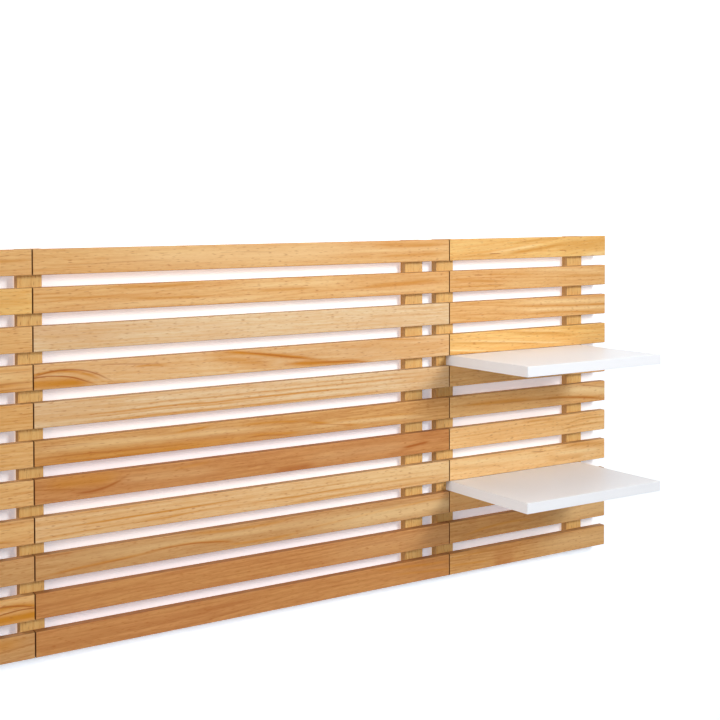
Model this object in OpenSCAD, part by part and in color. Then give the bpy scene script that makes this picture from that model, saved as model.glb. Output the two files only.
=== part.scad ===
// Slatted pine headboard for a wall: two centre panels, two side panels, four white shelves.
// X runs along the wall, -Y is the front and +Z is up. The wall plane is Y = 0.
// The origin is on the wall plane, behind the middle joint, at half the height.

/* [Slats] */
// Height of a slat's face
slat_h = 41; // [36:0.5:60]
// Thickness of a slat
slat_t = 16; // [14:0.5:22]
// Clear gap between two slats, which also takes a shelf board
slat_gap = 19.5; // [19.5:0.5:24]
// Number of slats in each panel
slat_count = 11; // [9:1:11]
// Radius on the long edges of a slat
slat_round = 2; // [1:0.5:4]
// Radius on the front corners at a slat's ends
slat_end_round = 1.5; // [0.5:0.5:4]

/* [Panels] */
// Length of the slats in a centre panel
centre_len = 804; // [600:1:900]
// Length of the slats in a side panel
side_len = 399; // [390:1:500]
// Joint gap between the slats of neighbouring panels
joint_gap = 1.5; // [1:0.5:4]

/* [Battens] */
// Width of an upright batten
batten_w = 40; // [36:1:60]
// Thickness of an upright batten
batten_t = 16; // [14:0.5:22]
// Distance from a panel's free end to the edge of the batten behind it
batten_inset = 51; // [30:1:60]
// Radius on the upright edges of a batten
batten_round = 1; // [0.5:0.5:3]

/* [Shelves] */
// Thickness of a shelf board
shelf_t = 19; // [16:0.5:19]
// Lap of a shelf's outer end over the batten behind it
shelf_lap = 20; // [18:1:36]
// Reach of a shelf in front of the slats
shelf_reach = 229; // [150:1:300]
// Angle at which a shelf leans up in the play of its gap, in degrees
shelf_lean = 1.2; // [0:0.1:1.5]
// Distance from the side panel's joint line to the inner end of a shelf
shelf_inset = 3; // [1:0.5:4]
// Number of slats above the upper shelf
upper_shelf_row = 4; // [2:1:5]
// Number of slats above the lower shelf
lower_shelf_row = 8; // [6:1:8]
// Radius on the long edges of a shelf board
shelf_round = 1; // [0.5:0.5:3]
// Radius on the front corners of a shelf board
shelf_corner_round = 2; // [1:0.5:10]

/* [Screws] */
// Diameter of the wood screws
screw_d = 4; // [3:0.5:4.5]
// Head diameter of the wood screws
screw_head_d = 8; // [6:0.5:9]
// Length of the screws that hold the slats
slat_screw_len = 28; // [22:1:28]
// Length of the screws that hold the shelves
shelf_screw_len = 50; // [35:1:60]
// Distance from a shelf's end to its screw
shelf_screw_inset = 10; // [8:0.5:12]

/* [Hanger plates] */
// Width of a keyhole plate
plate_w = 20; // [18:1:24]
// Height of a keyhole plate
plate_h = 46; // [42:1:48]
// Thickness of a keyhole plate
plate_t = 2; // [1.5:0.5:3]
// Diameter of the keyhole's entry hole
keyhole_d = 10; // [8:0.5:11]
// Width of the keyhole's slot
keyhole_slot_w = 5; // [4:0.5:6]
// Rise from the entry hole's centre to the slot's upper end
keyhole_rise = 11; // [9:0.5:12]
// Depth of the room behind a plate for the head of a wall screw
head_room = 6; // [4:0.5:7]

/* [Hidden] */
$fn = 48;
// Cutters start this far outside the face that they cut
overcut = 1;

slat_pitch = slat_h + slat_gap;
total_h = (slat_count - 1) * slat_pitch + slat_h;

// The joint lines are at X = 0 and at one centre panel's pitch to each side
centre_pitch = centre_len + joint_gap;
panel_names = ["left_side", "left_centre", "right_centre", "right_side"];
panel_len = [side_len, centre_len, centre_len, side_len];
panel_x = [
    -centre_pitch - joint_gap / 2 - side_len,
    -joint_gap / 2 - centre_len,
    joint_gap / 2,
    centre_pitch + joint_gap / 2
];

// Battens stand inside each panel's free ends and behind the three joints
batten_from_end = batten_inset + batten_w / 2;
end_batten_x = centre_pitch + joint_gap / 2 + side_len - batten_from_end;
outer_batten_x = joint_gap / 2 + centre_len - batten_from_end;
inner_batten_x = joint_gap / 2 + batten_from_end;
batten_names = [
    "left_end_batten", "left_joint_batten", "left_outer_batten", "left_inner_batten",
    "middle_joint_batten", "right_outer_batten", "right_joint_batten", "right_end_batten"
];
batten_x = [
    -end_batten_x, -centre_pitch, -outer_batten_x, -inner_batten_x,
    0, outer_batten_x, centre_pitch, end_batten_x
];
// The panel that each batten belongs to
batten_panel = [0, 0, 1, 1, 2, 2, 3, 3];
// The side of its joint on which a joint batten's own panel lies, and 0 for the others
batten_lean = [0, -1, 0, 0, 1, 0, 1, 0];

// On a joint batten the screws stand in the middle of the half that each panel covers
joint_grip = (joint_gap + batten_w) / 4;

// Each shelf leans up in the gap under its row, its lower rear edge on the slat below and its
// upper rear edge against the battens
shelf_rows = [upper_shelf_row, lower_shelf_row];
shelf_levels = ["upper", "lower"];
shelf_depth = shelf_reach + slat_t;
shelf_x = centre_pitch + shelf_inset;
shelf_len = end_batten_x - batten_w / 2 + shelf_lap - shelf_x;
shelf_seat_y = -batten_t - shelf_round - (shelf_t - 2 * shelf_round) * sin(shelf_lean);
sides = ["left", "right"];

screw_tip = 5;
screw_point_d = 0.6;
plate_round = 4;
plate_screw_d = 3;
plate_screw_head_d = 5.6;
plate_screw_len = 14;
plate_screw_spacing = 34;
keyhole_drop = 5;
head_room_w = 12;
// The plates sit halfway between the two uppermost slats' screws
plate_z = total_h / 2 - slat_h / 2 - slat_pitch / 2;

function slat_name(p, row) = str(panel_names[p], "_slat_", row);
function shelf_name(side, level) = str(side, "_", level, "_shelf");
function slat_z(row) = total_h / 2 - slat_h / 2 - (row - 1) * slat_pitch;
function gap_floor_z(row) = slat_z(row + 1) + slat_h / 2;
function own_screw_x(b) = batten_x[b] + batten_lean[b] * joint_grip;
function tie_screw_x(b) = batten_x[b] - batten_lean[b] * joint_grip;
function tied_panel(b) = batten_panel[b] - batten_lean[b];
// The first, middle and last slats are also screwed to the neighbouring panel's joint batten
function is_tied(row) = row == 1 || row == ceil(slat_count / 2) || row == slat_count;

// A rectangle with the corners at y = 0 rounded, and the others too if all is true
module eased_rectangle(w, h, r, all = true) {
    translate([r, 0]) square([w - 2 * r, h]);
    translate([0, r]) square([w, all ? h - 2 * r : h - r]);
    for (x = [r, w - r], y = all ? [r, h - r] : [r]) translate([x, y]) circle(r);
}

// A board from x = 0 to its length, its back at y = 0 and its underside at z = 0
module eased_board(length, depth, thickness, edge_r, corner_r) {
    translate([0, -depth, 0]) intersection() {
        rotate([90, 0, 90]) linear_extrude(length) eased_rectangle(depth, thickness, edge_r);
        linear_extrude(thickness) eased_rectangle(length, depth, corner_r, all = false);
    }
}

// A countersunk wood screw, its head flush with y = 0 and its point towards -Y
module wood_screw(d, head_d, length) {
    head_h = (head_d - d) / 2;
    rotate([90, 0, 0]) {
        cylinder(h = head_h, d1 = head_d, d2 = d);
        cylinder(h = length - screw_tip, d = d);
        translate([0, 0, length - screw_tip]) cylinder(h = screw_tip, d1 = d, d2 = screw_point_d);
    }
}

module slat_screw() {
    wood_screw(screw_d, screw_head_d, slat_screw_len);
}

// The screws through one batten into the slats
module batten_slat_screws(b, rows = [1:slat_count]) {
    for (row = rows) translate([own_screw_x(b), 0, slat_z(row)]) slat_screw();
    if (batten_lean[b] != 0)
        for (row = rows) if (is_tied(row)) translate([tie_screw_x(b), 0, slat_z(row)]) slat_screw();
}

// One slat, drilled from behind for the screws of the battens that it crosses
module slat(p, row) {
    color("burlywood") difference() {
        translate([panel_x[p], -batten_t, slat_z(row) - slat_h / 2])
            eased_board(panel_len[p], slat_t, slat_h, slat_round, slat_end_round);
        for (b = [0:len(batten_x) - 1])
            if (batten_panel[b] == p || tied_panel(b) == p) batten_slat_screws(b, [row:row]);
    }
}

// The recess for a keyhole plate, with the room behind it for a screw head
module plate_recess() {
    translate([0, overcut, 0]) rotate([90, 0, 0]) linear_extrude(plate_t + overcut) plate_outline();
    translate([0, overcut, 0]) rotate([90, 0, 0]) linear_extrude(plate_t + head_room + overcut)
        upright_slot(head_room_w, -keyhole_drop, keyhole_rise - keyhole_drop);
}

// An upright slot with round ends, from the centre of its lower end to that of its upper end
module upright_slot(w, low, high) {
    for (y = [low, high]) translate([0, y]) circle(d = w);
    translate([-w / 2, low]) square([w, high - low]);
}

module plate_outline() {
    translate([-plate_w / 2, -plate_h / 2]) eased_rectangle(plate_w, plate_h, plate_round);
}

// One batten, countersunk for every screw that passes through it
module batten(b) {
    color("peru") difference() {
        translate([batten_x[b] - batten_w / 2, -batten_t, -total_h / 2])
            linear_extrude(total_h) eased_rectangle(batten_w, batten_t, batten_round);
        batten_slat_screws(b);
        shelf_screws_at(b);
        translate([batten_x[b], 0, plate_z]) {
            plate_recess();
            plate_screws();
        }
    }
}

// A shelf on the right, turned about its lower rear edge and drilled for its two screws
module right_shelf(row) {
    color("white") difference() {
        translate([shelf_x, shelf_seat_y, gap_floor_z(row) + shelf_round])
            rotate([-shelf_lean, 0, 0]) translate([0, shelf_round, -shelf_round])
                eased_board(shelf_len, shelf_depth, shelf_t, shelf_round, shelf_corner_round);
        right_shelf_screws(row);
    }
}

module shelf(side, row) {
    if (side == "right") right_shelf(row);
    else mirror([1, 0, 0]) right_shelf(row);
}

module right_shelf_screws(row) {
    for (x = [shelf_x + shelf_screw_inset, shelf_x + shelf_len - shelf_screw_inset])
        translate([x, 0, gap_floor_z(row) + shelf_t / 2])
            wood_screw(screw_d, screw_head_d, shelf_screw_len);
}

// The shelf screws that pass through a batten of a side panel
module shelf_screws_at(b) {
    if (batten_panel[b] == 3) for (row = shelf_rows) right_shelf_screws(row);
    if (batten_panel[b] == 0) mirror([1, 0, 0]) for (row = shelf_rows) right_shelf_screws(row);
}

module plate_screws() {
    for (z = [-plate_screw_spacing / 2, plate_screw_spacing / 2])
        translate([0, 0, z]) wood_screw(plate_screw_d, plate_screw_head_d, plate_screw_len);
}

// A keyhole plate: the entry hole below, and the slot above it that the wall screw slides into
module keyhole_plate() {
    difference() {
        rotate([90, 0, 0]) linear_extrude(plate_t) plate_outline();
        translate([0, overcut, -keyhole_drop]) rotate([90, 0, 0])
            cylinder(h = plate_t + 2 * overcut, d = keyhole_d);
        translate([0, overcut, 0]) rotate([90, 0, 0]) linear_extrude(plate_t + 2 * overcut)
            upright_slot(keyhole_slot_w, -keyhole_drop, keyhole_rise - keyhole_drop);
        plate_screws();
    }
}

module slat_screws() {
    color("silver") for (b = [0:len(batten_x) - 1]) batten_slat_screws(b);
}

module shelf_screws() {
    color("silver") for (row = shelf_rows) {
        right_shelf_screws(row);
        mirror([1, 0, 0]) right_shelf_screws(row);
    }
}

module hanger_plates() {
    color("gainsboro") for (x = batten_x) translate([x, 0, plate_z]) keyhole_plate();
}

module hanger_screws() {
    color("silver") for (x = batten_x) translate([x, 0, plate_z]) plate_screws();
}

for (p = [0:3], row = [1:slat_count])
    slat(p, row);
for (b = [0:len(batten_x) - 1])
    batten(b);
for (side = sides, i = [0:1])
    shelf(side, shelf_rows[i]);
slat_screws();
shelf_screws();
hanger_plates();
hanger_screws();
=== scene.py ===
import math
import random

import bmesh
import bpy
from mathutils import Color, Matrix, Vector


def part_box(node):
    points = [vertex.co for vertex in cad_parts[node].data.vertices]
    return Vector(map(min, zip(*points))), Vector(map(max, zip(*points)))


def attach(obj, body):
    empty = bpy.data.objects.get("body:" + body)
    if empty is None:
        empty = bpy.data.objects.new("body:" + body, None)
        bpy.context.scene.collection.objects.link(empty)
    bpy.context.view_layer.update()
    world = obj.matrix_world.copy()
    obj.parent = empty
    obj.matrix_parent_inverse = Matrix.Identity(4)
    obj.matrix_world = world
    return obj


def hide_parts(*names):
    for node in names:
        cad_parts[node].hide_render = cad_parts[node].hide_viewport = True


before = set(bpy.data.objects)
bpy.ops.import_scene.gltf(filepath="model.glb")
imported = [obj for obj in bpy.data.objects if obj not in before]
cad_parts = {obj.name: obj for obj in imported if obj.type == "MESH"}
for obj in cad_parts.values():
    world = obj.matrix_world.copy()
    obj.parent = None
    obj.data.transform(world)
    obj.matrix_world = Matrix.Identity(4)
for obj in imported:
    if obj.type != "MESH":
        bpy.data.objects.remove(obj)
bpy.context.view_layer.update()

# ---- View --------------------------------------------------------------------------------------
# The headboard is seen by someone who stands left of its middle, a little above its top edge, and
# looks along it to the right. The lens is shifted down, so that the slats' ends stay upright.
eye = Vector((-0.5856, -1.9431, 0.4018))
turn_right = 0.5568
look_up = -0.0259
lean_left = -0.0018
focal_px = 1235.7
frame_px = 720
axis_height_px = 230.3
sensor_mm = 36

bpy.ops.object.select_all(action="DESELECT")
bpy.ops.object.camera_add()
camera = bpy.context.object
camera.matrix_world = (
    Matrix.Translation(eye)
    @ Matrix.Rotation(-turn_right, 4, "Z")
    @ Matrix.Rotation(math.pi / 2 + look_up, 4, "X")
    @ Matrix.Rotation(lean_left, 4, "Z")
)
camera.data.sensor_width = sensor_mm
camera.data.lens = focal_px / frame_px * sensor_mm
camera.data.shift_y = (axis_height_px - frame_px / 2) / frame_px
camera.data.clip_start = 0.05
camera.data.clip_end = 60
bpy.context.scene.camera = camera
bpy.context.scene.view_settings.view_transform = "Standard"


# ---- Light -------------------------------------------------------------------------------------
# One soft box stands in front, to the right and a little above, and throws the shelves' soft
# shadows down to the left. One hangs above, one fills from the left, and one lights the back.
def soft_box(name, place, aim, size, level):
    """A square lamp that gives a white surface facing it, at its aim, this share of full white."""
    bpy.ops.object.light_add(type="AREA", location=place)
    lamp = bpy.context.object
    lamp.name = name
    towards = Vector(aim) - Vector(place)
    lamp.rotation_mode = "QUATERNION"
    lamp.rotation_quaternion = towards.to_track_quat("-Z", "Y")
    lamp.data.shape = "SQUARE"
    lamp.data.size = size
    lamp.data.energy = level * math.pi**2 * towards.length_squared
    lamp.visible_camera = False
    return lamp


key_light = soft_box("key_light", (1.5, -2.1, 0.9), aim=(0.35, 0, 0.25), size=0.6, level=0.185)
key_light.data.spread = math.radians(110)
soft_box("top_light", (0.9, -0.75, 2.0), aim=(0.8, -0.1, 0), size=1.4, level=0.24)
soft_box("left_light", (-5.5, -2.6, 2.4), aim=(0.8, 0, 0), size=3.0, level=0.29)
soft_box("back_light", (-1.2, 3.4, 2.2), aim=(0, 0, 0), size=2.0, level=0.6)


class Value:
    """One output of a shader node. Arithmetic on values adds the Math nodes that work it out."""

    def __init__(self, tree, plug=None):
        self.tree = tree
        self.plug = plug

    def node(self, kind, settings=None, inputs=None, output=0):
        """Adds a node, gives it its settings, then the numbers or links of its sockets."""
        made = self.tree.nodes.new(kind)
        for name, setting in (settings or {}).items():
            setattr(made, name, setting)
        for key, value in (inputs or {}).items():
            if isinstance(value, Value):
                self.tree.links.new(value.plug, made.inputs[key])
            else:
                made.inputs[key].default_value = value
        return Value(self.tree, made.outputs[output] if made.outputs else None)

    def math(self, operation, *values):
        return self.node("ShaderNodeMath", {"operation": operation}, dict(enumerate(values)))

    def __add__(self, other):
        return self.math("ADD", self, other)

    def __sub__(self, other):
        return self.math("SUBTRACT", self, other)

    def __rsub__(self, other):
        return self.math("SUBTRACT", other, self)

    def __mul__(self, other):
        return self.math("MULTIPLY", self, other)

    def __truediv__(self, other):
        return self.math("DIVIDE", self, other)

    def __pow__(self, other):
        return self.math("POWER", self, other)

    def __abs__(self):
        return self.math("ABSOLUTE", self)

    __radd__ = __add__
    __rmul__ = __mul__

    def step(self, low, high):
        """Goes smoothly from 0 at low to 1 at high."""
        return self.node(
            "ShaderNodeMapRange",
            {"interpolation_type": "SMOOTHSTEP"},
            {"Value": self, "From Min": low, "From Max": high},
        )

    def mix(self, low, high):
        """The colour low where this value is 0 and high where it is 1."""
        factor, first_colour, second_colour, colour_out = 0, 6, 7, 2
        sockets = {factor: self, first_colour: low, second_colour: high}
        return self.node("ShaderNodeMix", {"data_type": "RGBA"}, sockets, colour_out)


def new_material(name):
    """An empty material, and the value from which its nodes are added."""
    material = bpy.data.materials.new(name)
    material.use_nodes = True
    material.node_tree.nodes.clear()
    return material, Value(material.node_tree)


def shown_by(tree, in_gloss=1):
    """1 for what the camera sees directly or through glass, this much for what it sees in a gloss,
    and 0 for what only lights the scene."""
    direct, gloss, glass = (
        tree.node("ShaderNodeLightPath", output=f"Is {kind} Ray")
        for kind in ("Camera", "Glossy", "Transmission")
    )
    return tree.math("MAXIMUM", tree.math("MAXIMUM", direct, glass), gloss * in_gloss)


# The air lights the scene with this share of the white that the camera sees
world_level = 0.22
world = bpy.data.worlds.new("studio")
bpy.context.scene.world = world
world.use_nodes = True
world.node_tree.nodes.clear()
air = Value(world.node_tree)
glow = air.node(
    "ShaderNodeBackground",
    inputs={"Color": (1, 1, 1, 1), "Strength": shown_by(air) * (1 - world_level) + world_level},
)
air.node("ShaderNodeOutputWorld", inputs={"Surface": glow})

# ---- Wall and floor ----------------------------------------------------------------------------
# A matt white wall that the battens stand against, and a pale floor below the bed's height. Both
# show from their front only, so that the back and the underside can be looked at through them.
wall_gap = 0.0015
floor_height = -0.85
room_reach = 9
mirrored_share = 0.4


def plain_sheet(name, depth, middle, tip_up, lit, shown, own_light):
    """A flat sheet that is matt paint from its front. The camera is shown a brighter paint, with
    some light of its own, so that the sheet is white wherever no shadow falls on it. A share of
    that brightness shows in the shelves' gloss."""
    bpy.ops.object.select_all(action="DESELECT")
    bpy.ops.mesh.primitive_plane_add(size=1)
    sheet = bpy.context.object
    sheet.name = name
    sheet.data.transform(
        Matrix.Translation(middle)
        @ Matrix.Rotation(tip_up, 4, "X")
        @ Matrix.Diagonal((2 * room_reach, depth, 1, 1))
    )
    material, paint = new_material(name)
    seen = shown_by(paint, mirrored_share)
    matt = paint.node("ShaderNodeBsdfDiffuse", inputs={"Color": seen.mix(lit, shown)})
    light = paint.node("ShaderNodeEmission", inputs={"Color": own_light, "Strength": seen})
    both = paint.node("ShaderNodeAddShader", inputs={0: matt, 1: light})
    side = paint.node("ShaderNodeNewGeometry", output="Backfacing")
    clear = paint.node("ShaderNodeBsdfTransparent")
    surface = paint.node("ShaderNodeMixShader", inputs={0: side, 1: both, 2: clear})
    paint.node("ShaderNodeOutputMaterial", inputs={"Surface": surface})
    sheet.data.materials.append(material)
    return sheet


wall = plain_sheet(
    "wall",
    depth=room_reach - floor_height,
    middle=(0, wall_gap, (room_reach + floor_height) / 2),
    tip_up=math.pi / 2,
    lit=(0.90, 0.90, 0.90, 1),
    shown=(1.19, 1.19, 1.19, 1),
    own_light=(0.18, 0.25, 0.33, 1),
)
wall.visible_shadow = False
plain_sheet(
    "floor",
    depth=room_reach + wall_gap,
    middle=(0, (wall_gap - room_reach) / 2, floor_height),
    tip_up=0,
    lit=(0.80, 0.80, 0.80, 1),
    shown=(1.10, 1.10, 1.10, 1),
    own_light=(0.40, 0.40, 0.40, 1),
)

# ---- Slats -------------------------------------------------------------------------------------
# Eleven pine slats a panel, 41 x 16 mm, screwed to the battens from behind. They have planed faces,
# eased edges and satin clear lacquer, and painted shade darkens their top and bottom faces. Each was
# cut from its own place in a trunk, so each shows the yearly rings in its own figure.
mm = 0.001


def rgb(red, green, blue):
    """A screen colour, 0 to 255, as the linear colour that shaders work in."""
    screen = Color((red / 255, green / 255, blue / 255))
    return (*screen.from_srgb_to_scene_linear(), 1)


# Early and late wood of each tone
TONES = {
    "cream": (rgb(232, 204, 162), rgb(214, 158, 90)),
    "straw": (rgb(232, 194, 142), rgb(214, 150, 72)),
    "peach": (rgb(249, 208, 148), rgb(230, 168, 90)),
    "honey": (rgb(231, 185, 121), rgb(208, 138, 60)),
    "gold": (rgb(241, 200, 125), rgb(226, 156, 64)),
    "copper": (rgb(216, 164, 98), rgb(182, 110, 40)),
    "rosy": (rgb(204, 144, 80), rgb(172, 98, 38)),
    "tan": (rgb(208, 160, 102), rgb(178, 116, 54)),
    "batten": (rgb(254, 211, 134), rgb(238, 180, 98)),
}
BLUSH = rgb(210, 146, 88)
AMBER = rgb(202, 128, 8)
PALE = rgb(248, 218, 162)
RESIN = rgb(168, 88, 14)
# The colour of end grain, which also serves as painted shade on the boards' narrow long sides
END_GRAIN_AND_SHADE = rgb(112, 68, 32)

# Each kind of mark in the wood: how often it comes in a metre along the grain, across it and into
# the board, what it adds to the board's seed, and its detail
MARKS = {
    "wander": ((1.1, 1.1, 1.1), 3.1, 1),
    "wave": ((4.3, 4.3, 4.3), 7.7, 1),
    "wobble": ((11, 45, 45), 1.3, 2),
    "bold patch": ((3, 25, 25), 11.0, 2),
    "blotch": ((2.4, 14, 14), 5.0, 2),
    "fine line": ((6, 230, 230), 4.0, 4),
    "fibre": ((50, 420, 420), 2.0, 4),
    "streak patch": ((9, 120, 120), 6.0, 2),
    "resin duct": ((95, 600, 600), 9.0, 0),
}


def from_middle(tree, node):
    """Distance to the right of a piece's middle, behind it and above it, in metres."""
    low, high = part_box(node)
    place = tree.node("ShaderNodeTexCoord", output="Object")
    middle = (low + high) / 2
    held = tree.node("ShaderNodeVectorMath", {"operation": "SUBTRACT"}, {0: place, 1: middle})
    return [held.node("ShaderNodeSeparateXYZ", inputs={0: held}, output=axis) for axis in "XYZ"]


def facing(tree, axis):
    """1 on faces square to an axis and 0 on those along it."""
    normal = tree.node("ShaderNodeTexCoord", output="Normal")
    return abs(normal.node("ShaderNodeSeparateXYZ", inputs={0: normal}, output=axis))


def noise(mark, point, seed):
    """Noise, about 0.5, with the scale of a kind of mark in each direction of a point."""
    per_metre, own_seed, detail = MARKS[mark]
    scaled = {i: point[i] * per_metre[i] for i in range(3)}
    stretched = point[0].node("ShaderNodeCombineXYZ", inputs=scaled)
    return point[0].node(
        "ShaderNodeTexNoise",
        {"noise_dimensions": "4D"},
        {"Vector": stretched, "W": seed + own_seed, "Scale": 1, "Detail": detail, "Roughness": 0.55},
    )


def finish_with(node, material):
    """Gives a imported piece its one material."""
    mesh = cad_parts[node].data
    mesh.materials.clear()
    mesh.materials.append(material)


def pine(node, grain, tone, pith, ring, drift, bold, seed, side_shade, amber=(), pale=(), dark=()):
    """Lacquered pine for one board. pith is the trunk's centre, in mm across and behind the board's
    middle, drift its slope in mm a metre, ring the rings' width in mm, and bold how much late wood
    shows. The argument after seed is how much painted shade darkens the board's narrow long sides.
    amber, pale and dark hold streaks: where one starts and ends along the board, in mm from the
    middle, how high it lies at either end, how far it arches between them, half its width, its
    strength."""
    material, wood = new_material(f"pine_{node}")
    right, deep, up = from_middle(wood, node)
    along, across = (right, up) if grain == "X" else (up, right)
    point = (along, across, deep)

    # Yearly rings about a pith that wanders along the trunk, some years wider than others
    wander = noise("wander", (along, along, along), seed) - 0.5
    wave = noise("wave", (along, along, along), seed) - 0.5
    beside = across - pith[0] * mm - along * (drift[0] * mm) - wander * (35 * mm) - wave * (6 * mm)
    behind = deep - pith[1] * mm - along * (drift[1] * mm) - wander * (20 * mm)
    radius = (beside * beside + behind * behind) ** 0.5
    wobble = (noise("wobble", point, seed) - 0.5) * (4.5 * mm)
    years = (radius + wobble) / (ring * mm)
    drought = years.node(
        "ShaderNodeTexNoise",
        {"noise_dimensions": "1D"},
        {"W": years * 0.31 + seed, "Scale": 1},
    )
    years = years + (drought - 0.5) * 2.2
    season = years.math("FRACT", years)
    growth = years.node(
        "ShaderNodeTexWhiteNoise",
        {"noise_dimensions": "1D"},
        {"W": years.math("FLOOR", years)},
    )

    # Late wood darkens slowly within a year, ends sharply and is bolder in places
    late = season.step(0.25, 0.88) ** 1.4 * (1 - season.step(0.90, 1.0)) * (growth * 0.75 + 0.3)
    bold_patch = noise("bold patch", point, seed).step(0.3, 0.65)
    late = late * (bold_patch * (0.7 * bold) + 0.3 * bold)

    # The tone of the wood, its blushes, rings, fine lines and fibres
    blotch = noise("blotch", point, seed).step(0.42, 0.75)
    fine_line = noise("fine line", point, seed).step(0.40, 0.72)
    fibre = noise("fibre", point, seed)
    early_colour, late_colour = TONES[tone]
    colour = (blotch * 0.4).mix(early_colour, BLUSH)
    colour = late.mix(colour, late_colour)
    colour = (fine_line * 0.5).mix(colour, late_colour)
    colour = (fibre.step(0.4, 0.75) * 0.42).mix(colour, late_colour)

    # The streaks, each along its own arched line and faint at both ends
    patchy = noise("streak patch", point, seed).step(0.2, 0.6) * 0.35 + 0.8
    for tint, runs in {AMBER: amber, PALE: pale, RESIN: dark}.items():
        for start, end, high, end_high, arch, half, strength in runs:
            way = (along - start * mm) / ((end - start) * mm)
            rise = (end_high - high + 4 * arch) * mm
            line = way * rise - way * way * (4 * arch * mm) + high * mm
            off = (across - line + wobble) / (half * mm)
            there = way.step(0, 0.3) * (1 - way.step(0.7, 1))
            streak = wood.math("EXPONENT", 0 - off * off) * there * patchy
            colour = (streak * strength).mix(colour, tint)

    # Short resin ducts, then the darker end grain, and painted shade on the narrow long sides
    duct = noise("resin duct", point, seed).step(0.62, 0.8)
    colour = (duct * 0.5).mix(colour, RESIN)
    ends, sides = ("X", "Z") if grain == "X" else ("Z", "X")
    colour = (facing(wood, ends).step(0.6, 0.9) * 0.85).mix(colour, END_GRAIN_AND_SHADE)
    colour = (facing(wood, sides).step(0.6, 0.9) * side_shade).mix(colour, END_GRAIN_AND_SHADE)

    relief = {"Strength": 0.25, "Distance": 0.2 * mm, "Height": fibre * 0.6 + late * 0.4}
    lacquer = wood.node(
        "ShaderNodeBsdfPrincipled",
        inputs={
            "Base Color": colour,
            "Roughness": 0.50 - late * 0.08 + fibre * 0.08,
            "Normal": wood.node("ShaderNodeBump", inputs=relief),
            "Specular IOR Level": 0.35,
            "Coat Weight": 0.05,
            "Coat Roughness": 0.3,
        },
    )
    wood.node("ShaderNodeOutputMaterial", inputs={"Surface": lacquer})
    finish_with(node, material)


# Where in the trunk a slat was cut: the pith's place across and behind its middle, in mm
QUARTER = (150, 6)
RIFT = (70, 62)

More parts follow.
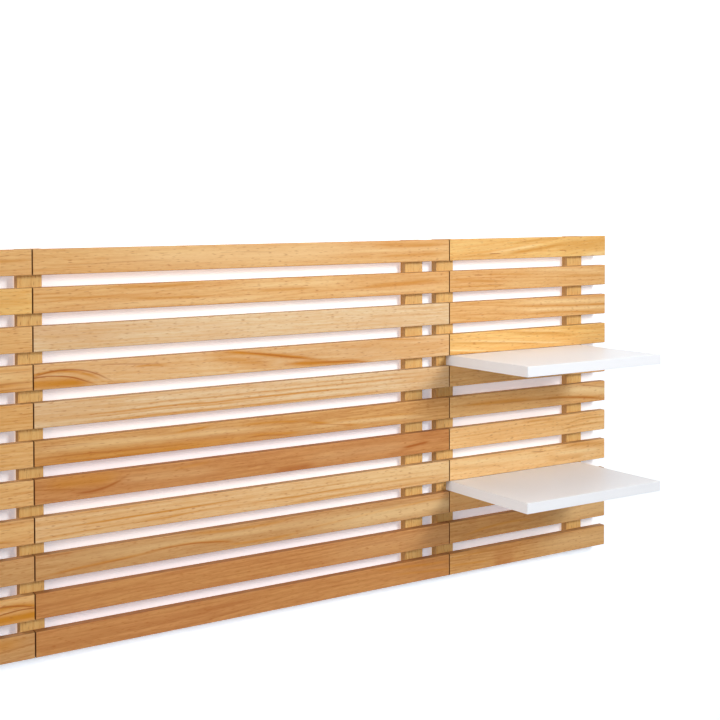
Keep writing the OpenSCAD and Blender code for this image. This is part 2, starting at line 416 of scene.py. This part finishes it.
centre_slats = [
    dict(
        tone="honey", pith=QUARTER, ring=3.6, drift=(12, 0), bold=0.5, seed=1,
        amber=[
            (210, 410, 14, 12, -1, 5, 0.5),
            (90, 250, -5, -8, 0, 3, 0.35),
            (-260, 120, 0, 0, 0, 18, 0.08),
            (230, 410, -8, -6, 0, 4, 0.45),
        ],
        pale=[(-330, 260, 4, 2, 0, 15, 0.35), (150, 450, 3, 3, 0, 3, 0.3)],
        dark=[(-385, -150, -7, -3, 1, 1.2, 0.25), (-60, 40, 8, 6, 0, 0.8, 0.3)],
    ),
    dict(
        tone="honey", pith=RIFT, ring=5.5, drift=(25, 30), bold=0.6, seed=2,
        amber=[
            (-300, -90, 17, 17, -2, 3, 0.6),
            (-270, -85, -2, -4, -2, 2.5, 0.6),
            (-410, -220, 4, 0, 0, 2.5, 0.4),
            (-30, 115, -1, 0, 0, 2.5, 0.55),
            (10, 110, 20, 20, 0, 2.5, 0.45),
            (180, 410, -3, 6, 0, 4, 0.6),
        ],
        pale=[
            (-340, 60, -13, -12, 0, 5, 0.3),
            (-80, 200, 9, 10, 0, 5, 0.3),
            (120, 430, -14, -10, 0, 4, 0.3),
        ],
    ),
    dict(
        tone="cream", pith=QUARTER, ring=2.6, drift=(-8, 0), bold=0.5, seed=3,
        amber=[
            (190, 410, 3, 1, 0, 2, 0.35),
            (250, 410, 14, 12, 0, 2, 0.3),
            (-420, -250, 0, -2, 0, 14, 0.18),
        ],
    ),
    dict(
        tone="straw", pith=RIFT, ring=7, drift=(-85, 60), bold=0.6, seed=4,
        amber=[
            (-450, -268, -15, -25, 27, 3, 0.75),
            (-450, -292, -12, -17, 3, 8, 0.9),
            (-470, -276, -20, -21, 9, 5, 0.5),
            (-285, -240, -19, -20, 0, 3, 0.7),
            (-240, -170, 6, 4, 0, 1.5, 0.7),
            (-120, 40, 16, -14, 0, 9, 0.55),
            (-110, 150, 22, -14, 3, 3.6, 1.0),
            (20, 240, -9, -20, 0, 4, 1.0),
            (225, 350, 20, 15, 0, 2, 0.6),
            (120, 420, 12, -4, 0, 6, 0.2),
        ],
        dark=[
            (-450, -286, -13, -26, 19, 1.2, 0.95),
            (-430, -256, -12, -26, 27, 1.4, 0.75),
            (-310, -180, 14, 6, 0, 0.8, 0.55),
            (-60, 120, 19, -10, 1, 1, 0.7),
            (90, 235, -11, -20, 0, 1.2, 0.65),
            (-60, 300, 2, -2, 0, 20, 0.14),
        ],
    ),
    dict(
        tone="cream", pith=QUARTER, ring=6, drift=(10, 0), bold=0.5, seed=5,
        amber=[
            (-440, 360, -6, -3, 0, 1.8, 0.75),
            (-440, 100, -10, -8, 0, 1.2, 0.5),
            (-340, 430, 3, 6, 0, 1.6, 0.65),
            (-440, 420, -18, -15, 0, 2.2, 0.7),
            (-440, 100, 17, 18, 0, 1.5, 0.4),
            (-60, 430, 12, 13, 0, 1.5, 0.4),
            (-560, -180, 0, 0, 0, 24, 0.2),
            (240, 560, 0, 0, 0, 24, 0.25),
        ],
    ),
    dict(
        tone="copper", pith=RIFT, ring=6.5, drift=(-20, 35), bold=0.5, seed=6,
        amber=[
            (-460, 60, -9, -13, 0, 6, 0.5),
            (-460, -40, -19, -17, 0, 4, 0.6),
            (-175, -90, 8, 16, 0, 2, 0.8),
            (-230, -150, 8, 9, 0, 1.5, 0.5),
            (-60, 100, 10, 5, 2, 2.5, 0.6),
            (75, 215, 7, -13, -2, 2.5, 0.8),
            (130, 340, -1, -4, 0, 2.5, 0.6),
            (-40, 90, -8, -14, 0, 3, 0.6),
        ],
        pale=[(-460, 60, 6, -1, 3, 5, 0.35), (60, 380, -9, -14, 6, 4, 0.4)],
        dark=[
            (-460, -100, -5, -12, 0, 1.4, 0.45),
            (-460, -180, -14, -19, 0, 1.2, 0.4),
            (-45, 65, -12, -18, 3, 1.2, 0.55),
            (90, 200, 3, -12, -2, 0.9, 0.5),
            (-420, -300, 12, 8, 0, 0.8, 0.4),
        ],
    ),
    dict(
        tone="rosy", pith=RIFT, ring=9, drift=(-20, 40), bold=0.5, seed=7,
        amber=[(-400, -245, 9, 9, 0, 11, 0.45), (-180, -90, 8, 16, 0, 2, 0.3)],
        pale=[(-300, -60, 4, -2, 0, 7, 0.14), (60, 340, -4, 2, 0, 9, 0.12)],
        dark=[
            (-440, -300, 9, -7, 0, 1.6, 0.45),
            (-350, -240, -7, 14, -11, 2.4, 0.8),
            (-420, -330, -11, -20, 0, 1.6, 0.35),
            (10, 115, -19, -19, 3, 6, 0.5),
            (255, 330, -15, -5, 0, 2.5, 0.35),
            (288, 364, -5, 2, 0, 2.4, 0.95),
            (320, 400, 14, 18, 0, 7, 0.35),
        ],
    ),
    dict(
        tone="straw", pith=QUARTER, ring=5, drift=(-14, 0), bold=0.5, seed=8,
        amber=[
            (-420, 30, -3, 4, 1, 1.6, 0.75),
            (-20, 440, 4, 3, 2, 1.5, 0.6),
            (-440, -50, -15, -5, 0, 1.8, 0.6),
            (-100, 440, -8, -5, 2, 1.8, 0.75),
            (-20, 440, -18, -15, 2, 2, 0.65),
            (-440, 0, 17, 19, 0, 2, 0.4),
            (-440, -180, 7, 10, 0, 1.5, 0.35),
        ],
        pale=[(120, 560, 6, 10, 0, 16, 0.35)],
    ),
    dict(
        tone="tan", pith=RIFT, ring=9, drift=(30, 20), bold=0.5, seed=9,
        amber=[
            (-400, -190, -14, -1, 0, 2, 0.5),
            (-235, -40, -4, -11, 9, 2.4, 0.7),
            (-90, 90, -9, -10, -4, 2, 0.5),
            (50, 440, -10, 13, 2, 1.8, 0.7),
            (-170, 80, 20, 17, -6, 2.5, 0.5),
        ],
        pale=[(-440, 440, 8, 2, 0, 6, 0.25), (60, 520, -10, 0, 0, 12, 0.4)],
        dark=[
            (-400, -200, -15, -3, 0, 1.2, 0.4),
            (-235, -40, -4, -11, 8, 1.4, 0.7),
            (-440, -320, 18, 17, 0, 2, 0.35),
        ],
    ),
    dict(
        tone="rosy", pith=RIFT, ring=6, drift=(30, 20), bold=0.6, seed=10,
        pale=[(80, 520, 0, 0, 0, 20, 0.12)],
    ),
    dict(
        tone="rosy", pith=RIFT, ring=9, drift=(15, 30), bold=0.6, seed=11,
        amber=[(220, 430, 16, 5, 0, 2.5, 0.5), (260, 430, 2, -9, 0, 2, 0.4)],
    ),
]
side_slats = [
    dict(
        tone="gold", pith=RIFT, ring=6, drift=(70, 40), bold=0.5, seed=21,
        amber=[
            (-85, 110, -14, 8, 0, 3.5, 0.6),
            (-70, 90, 8, 20, 0, 3, 0.5),
            (40, 260, 0, 8, 0, 14, 0.4),
            (-205, -60, -13, -12, 0, 2, 0.4),
        ],
        pale=[(-120, 40, -10, 8, 0, 2.5, 0.5), (130, 230, -20, -12, 0, 4, 0.5)],
        dark=[(-108, -72, -10, -10, 0, 0.8, 0.8), (72, 96, -8, -8, 0, 0.7, 0.7)],
    ),
    dict(
        tone="honey", pith=RIFT, ring=4, drift=(-30, 30), bold=0.6, seed=22,
        amber=[
            (-225, -60, 5, -4, 0, 2.5, 0.5),
            (-225, -40, -10, -13, 0, 2, 0.5),
            (-140, 20, 12, 8, 0, 2, 0.4),
            (60, 220, 0, -2, 2, 3, 0.3),
        ],
        pale=[(-20, 220, 18, 8, 0, 4, 0.35)],
        dark=[(-145, -118, 11, 10, 0, 0.8, 0.7), (-120, -60, -8, -11, 0, 0.8, 0.4)],
    ),
    dict(
        tone="honey", pith=RIFT, ring=6, drift=(-20, 20), bold=0.6, seed=23,
        amber=[
            (-80, 220, 7, -2, 0, 2.2, 0.6),
            (-30, 220, -12, -19, 4, 2.2, 0.55),
            (-200, -20, 18, 14, 0, 2, 0.35),
            (-210, -60, -8, -18, 0, 2, 0.4),
            (140, 240, 0, -1, 0, 2.5, 0.6),
        ],
        pale=[(-80, 260, -1, -8, 0, 3.5, 0.5), (-60, 300, 13, 6, 0, 5, 0.45)],
    ),
    dict(
        tone="gold", pith=QUARTER, ring=5, drift=(-85, 0), bold=0.6, seed=24,
        amber=[
            (-230, 80, 4, -13, 1, 3, 0.5),
            (-80, 130, 14, 1, 1, 4, 0.5),
            (60, 230, 18, 12, 0, 4, 0.35),
            (-230, -60, -16, -22, 0, 2, 0.5),
        ],
        pale=[
            (-230, 140, 9, -18, 1, 1.8, 0.6),
            (-230, -90, -9, -18, 0, 1.8, 0.6),
            (-60, 120, 18, 8, 0, 1.5, 0.4),
        ],
    ),
    dict(tone="honey", pith=RIFT, ring=5, drift=(20, 10), bold=0.6, seed=25),
    dict(
        tone="honey", pith=RIFT, ring=9, drift=(-30, 60), bold=0.5, seed=26,
        amber=[
            (-220, 70, -2, -3, 3, 3, 0.6),
            (10, 220, -3, -19, 5, 3, 0.7),
            (-180, 20, 3, 2, 0, 7, 0.3),
        ],
        pale=[(60, 260, 12, -2, 0, 9, 0.6)],
        dark=[
            (-120, 80, -3, -5, 2, 1.4, 0.3),
            (10, 220, -4, -20, 5, 2, 0.5),
            (110, 220, 20, 5, 0, 1.4, 0.45),
        ],
    ),
    dict(
        tone="peach", pith=RIFT, ring=6, drift=(-60, 60), bold=0.7, seed=27,
        amber=[
            (80, 215, -4, 3, 8, 1.6, 0.6),
            (60, 215, -13, -6, 5, 1.6, 0.5),
            (95, 200, 8, 12, 3, 1.5, 0.4),
            (-230, 230, 0, 0, 0, 30, 0.15),
            (-30, 80, 16, 14, 0, 2, 0.5),
        ],
    ),
    dict(
        tone="peach", pith=RIFT, ring=5, drift=(-40, 50), bold=0.6, seed=28,
        amber=[
            (60, 230, 19, 9, 0, 6, 0.45),
            (40, 150, -7, -9, 0, 5, 0.4),
            (-220, -40, 3, -3, 0, 3, 0.25),
        ],
        pale=[(-230, 60, 12, 4, 0, 6, 0.5), (40, 200, 4, 0, 0, 4, 0.5)],
        dark=[(-2, 40, 14.5, 11.5, 0, 0.9, 0.7)],
    ),
    dict(tone="honey", pith=RIFT, ring=5, drift=(20, 10), bold=0.6, seed=29),
    dict(
        tone="copper", pith=RIFT, ring=9, drift=(20, 40), bold=0.6, seed=30,
        amber=[(-190, 30, -14, -4, 10, 2.5, 0.5)],
        pale=[(20, 340, -2, 4, 0, 22, 0.35)],
    ),
    dict(
        tone="copper", pith=RIFT, ring=5, drift=(-30, 10), bold=0.6, seed=31,
        amber=[(-220, -90, -2, -8, 0, 2, 0.5), (-220, -100, 10, 13, 0, 1.5, 0.4)],
        pale=[(-40, 380, 0, 0, 0, 22, 0.25)],
        dark=[(-100, -35, -4, -14, 0, 17, 0.35)],
    ),
]


def from_another_plank(slat, seed_shift, tone=None):
    """The same kind of slat, but turned end for end and cut elsewhere, so its figure differs."""
    other = dict(slat, seed=slat["seed"] + seed_shift, tone=tone or slat["tone"])
    for kind in ("amber", "pale", "dark"):
        other[kind] = [
            (-end, -start, end_high, high, *rest)
            for start, end, high, end_high, *rest in slat.get(kind, ())
        ]
    return other


# The row of the right centre panel that each slat of the left one is like, and its tone
left_picks = [
    (2, "honey"), (3, "gold"), (1, "honey"), (6, "honey"), (5, "honey"), (8, "honey"),
    (10, "honey"), (9, "honey"), (11, "tan"), (4, "honey"), (7, "tan"),
]
panels = {
    "right_centre": centre_slats,
    "right_side": side_slats,
    "left_centre": [
        from_another_plank(centre_slats[pick - 1], seed_shift=40, tone=tone)
        for pick, tone in left_picks
    ],
    "left_side": [from_another_plank(slat, seed_shift=60) for slat in side_slats[::-1]],
}
# How much painted shade darkens each slat's top and bottom faces
slat_side_shade = 0.5
for panel, slats in panels.items():
    for row, slat in enumerate(slats, start=1):
        pine(f"{panel}_slat_{row}", grain="X", side_shade=slat_side_shade, **slat)

# ---- Battens -----------------------------------------------------------------------------------
# Eight upright pine battens, 40 x 16 mm, lie between the slats and the wall. Their grain runs up
# and down, finer and more even than that of the slats, under the same lacquer.
# Painted shade darkens the battens' left and right sides.
batten_pine = dict(
    grain="Z", tone="batten", pith=(-110, 40), ring=6, drift=(9, 0), bold=1.0, side_shade=0.55,
)
first_batten_seed = 80
battens = sorted(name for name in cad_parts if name.endswith("_batten"))
for seed, batten in enumerate(battens, start=first_batten_seed):
    pine(batten, seed=seed, **batten_pine)

# ---- Shelves -----------------------------------------------------------------------------------
# Four boards faced in white melamine, each edge closed with a 1 mm band of the same white. The rear
# edge lies in the gap between two slats, on the lower one, and the board leans up in its play.
lean = math.radians(1.2)
half_board = 9.5 * mm
face_depth = 0.1 * mm
band = 1.0 * mm
seam = 0.12 * mm
WHITE = (0.895, 0.915, 0.955, 1)
SEAM_GREY = (0.62, 0.61, 0.60, 1)


def white_board(node):
    """Satin melamine: a faint orange-peel relief, and a hairline seam inside each banded edge."""
    material, skin = new_material(f"white_{node}")
    low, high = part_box(node)
    half = (high - low) / 2
    right, behind, above = from_middle(skin, node)
    # The banded edges are both ends and the front
    to_edge = skin.math("MINIMUM", half.x - abs(right), behind + half.y)
    on_seam = 1 - abs(to_edge - band).step(0, seam)
    from_core = abs(above + behind * math.tan(lean))
    on_face = from_core.step(half_board - 3 * face_depth, half_board - face_depth)
    colour = (on_seam * on_face * 0.5).mix(WHITE, SEAM_GREY)
    place = skin.node("ShaderNodeTexCoord", output="Object")
    peel = skin.node("ShaderNodeTexNoise", inputs={"Vector": place, "Scale": 900, "Detail": 1})
    cloud = skin.node("ShaderNodeTexNoise", inputs={"Vector": place, "Scale": 9, "Detail": 2})
    relief = {"Strength": 0.12, "Distance": 0.1 * mm, "Height": peel}
    melamine = skin.node(
        "ShaderNodeBsdfPrincipled",
        inputs={
            "Base Color": colour,
            "Roughness": 0.30 + (cloud - 0.5) * 0.08 + peel * 0.04,
            "Specular IOR Level": 0.12,
            "Normal": skin.node("ShaderNodeBump", inputs=relief),
        },
    )
    skin.node("ShaderNodeOutputMaterial", inputs={"Surface": melamine})
    finish_with(node, material)


for side in ("left", "right"):
    for level in ("upper", "lower"):
        white_board(f"{side}_{level}_shelf")

# ---- Wood screws -------------------------------------------------------------------------------
# Zinc-plated countersunk screws with a cross recess. They pass through the battens from behind into
# the slats and the shelves' rear edges, and their heads are flush with the battens' backs.
ZINC = rgb(188, 192, 196)
DULL_ZINC = rgb(150, 150, 146)


def zinc_plated(name):
    """Zinc plating: grey, clouded and duller in places, with a fine grit."""
    material, metal = new_material(name)
    place = metal.node("ShaderNodeTexCoord", output="Object")
    cloud = metal.node("ShaderNodeTexNoise", inputs={"Vector": place, "Scale": 420, "Detail": 3})
    grit = metal.node("ShaderNodeTexNoise", inputs={"Vector": place, "Scale": 4000, "Detail": 1})
    relief = {"Strength": 0.2, "Distance": 0.05 * mm, "Height": grit}
    plated = metal.node(
        "ShaderNodeBsdfPrincipled",
        inputs={
            "Base Color": cloud.step(0.35, 0.75).mix(ZINC, DULL_ZINC),
            "Metallic": 1.0,
            "Roughness": 0.30 + cloud * 0.2,
            "Normal": metal.node("ShaderNodeBump", inputs=relief),
        },
    )
    metal.node("ShaderNodeOutputMaterial", inputs={"Surface": plated})
    return material


def recess_cutter(width, depth):
    """A cross that narrows downwards, with which the drive recess is cut into a head."""
    arm_width, arm_length, taper = width * 0.22, width * 0.39, 0.35
    bpy.ops.object.select_all(action="DESELECT")
    bpy.ops.mesh.primitive_cube_add(size=arm_width)
    cutter = bpy.context.object
    bpy.ops.object.mode_set(mode="EDIT")
    bpy.ops.mesh.select_mode(type="FACE")
    bpy.ops.mesh.select_all(action="DESELECT")
    shape = bmesh.from_edit_mesh(cutter.data)
    for face in shape.faces:
        face.select = abs(face.normal.z) < 0.5
    bmesh.update_edit_mesh(cutter.data)
    bpy.ops.mesh.extrude_faces_move(TRANSFORM_OT_shrink_fatten={"value": arm_length})
    bpy.ops.mesh.select_all(action="DESELECT")
    for vert in shape.verts:
        vert.select = vert.co.z < 0
    shape.select_flush_mode()
    bmesh.update_edit_mesh(cutter.data)
    bpy.ops.transform.resize(value=(taper, taper, 1), center_override=(0, 0, 0))
    bpy.ops.transform.translate(value=(0, 0, -depth))
    bpy.ops.object.mode_set(mode="OBJECT")
    return cutter


def wood_screw(width, head_width, length):
    """One screw with a plain neck and a ridged thread, its head at the origin and facing +Y."""
    head_height = (head_width - width) / 2
    head_top, head_rim = head_width * 0.47, head_width * 0.02
    root, pitch = width * 0.34, width * 0.55
    thread_from, thread_to = length * 0.35, length - width
    outline = [(head_width / 2, head_rim), (root, head_height * 1.3), (root, thread_from)]
    for ridge in range(int((thread_to - thread_from) / pitch)):
        below = thread_from + ridge * pitch
        outline += [(width / 2, below + pitch * 0.5), (root, below + pitch)]
    outline.append((root * 0.15, length))

    bpy.ops.object.select_all(action="DESELECT")
    bpy.ops.mesh.primitive_circle_add(vertices=12, radius=head_top, fill_type="NGON")
    screw = bpy.context.object
    bpy.ops.object.mode_set(mode="EDIT")
    bpy.ops.mesh.select_all(action="SELECT")
    reached, wide = 0, head_top
    for radius, depth in outline:
        bpy.ops.mesh.extrude_region_move(TRANSFORM_OT_translate={"value": (0, 0, reached - depth)})
        ratio = radius / wide
        bpy.ops.transform.resize(value=(ratio, ratio, 1), center_override=(0, 0, -depth))
        reached, wide = depth, radius
    bpy.ops.mesh.select_all(action="SELECT")
    bpy.ops.mesh.normals_make_consistent(inside=False)
    bpy.ops.object.mode_set(mode="OBJECT")

    cutter = recess_cutter(head_width * 0.5, head_width * 0.16)
    bpy.ops.object.select_all(action="DESELECT")
    bpy.context.view_layer.objects.active = screw
    screw.select_set(True)
    bpy.ops.object.modifier_add(type="BOOLEAN")
    screw.modifiers[0].object = cutter
    bpy.ops.object.modifier_apply(modifier=screw.modifiers[0].name)
    bpy.data.objects.remove(cutter)
    bpy.ops.object.shade_smooth_by_angle(angle=math.radians(35))
    screw.data.transform(Matrix.Rotation(-math.pi / 2, 4, "X"))
    return screw


def screw_places(node):
    """The middle of each head in a node of screws, left to right and up."""
    solid = bmesh.new()
    solid.from_mesh(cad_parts[node].data)
    bmesh.ops.remove_doubles(solid, verts=solid.verts, dist=0.01 * mm)
    waiting = set(solid.verts)
    places = []
    while waiting:
        joined = [waiting.pop()]
        for vert in joined:
            near = {edge.other_vert(vert) for edge in vert.link_edges} & waiting
            waiting -= near
            joined.extend(near)
        low, high = (
            Vector(pick(vert.co[axis] for vert in joined) for axis in range(3))
            for pick in (min, max)
        )
        middle = (low + high) / 2
        places.append((round(middle.x, 6), round(high.y, 6), round(middle.z, 6)))
    solid.free()
    return sorted(places)


def drive(name, node, screw, chance):
    """Sets a copy of a screw wherever the node has one, turned as it stopped, and joins them."""
    bpy.ops.object.select_all(action="DESELECT")
    for place in screw_places(node):
        copy = screw.copy()
        copy.data = screw.data.copy()
        stopped = Matrix.Rotation(chance.uniform(0, math.pi / 2), 4, "Y")
        copy.data.transform(Matrix.Translation(place) @ stopped)
        bpy.context.collection.objects.link(copy)
        copy.select_set(True)
        bpy.context.view_layer.objects.active = copy
    bpy.ops.object.join()
    bpy.data.objects.remove(screw)
    driven = bpy.context.object
    driven.name = name
    driven.data.materials.append(zinc_plated(f"zinc_{node}"))
    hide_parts(node)
    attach(driven, "root")


chance = random.Random(4)
slat_screw = wood_screw(width=4 * mm, head_width=8 * mm, length=28 * mm)
drive("slat_wood_screws", "slat_screws", slat_screw, chance)
shelf_screw = wood_screw(width=4 * mm, head_width=8 * mm, length=50 * mm)
drive("shelf_wood_screws", "shelf_screws", shelf_screw, chance)

# ---- Hanger plates -----------------------------------------------------------------------------
# Keyhole plates of zinc-plated sheet steel, let into the battens' backs. Two small countersunk
# screws hold each one, and a wall screw's head enters below and slides up its slot.
finish_with("hanger_plates", zinc_plated("zinc_hanger_plates"))
plate_screw = wood_screw(width=3 * mm, head_width=5.6 * mm, length=14 * mm)
drive("plate_wood_screws", "hanger_screws", plate_screw, chance)
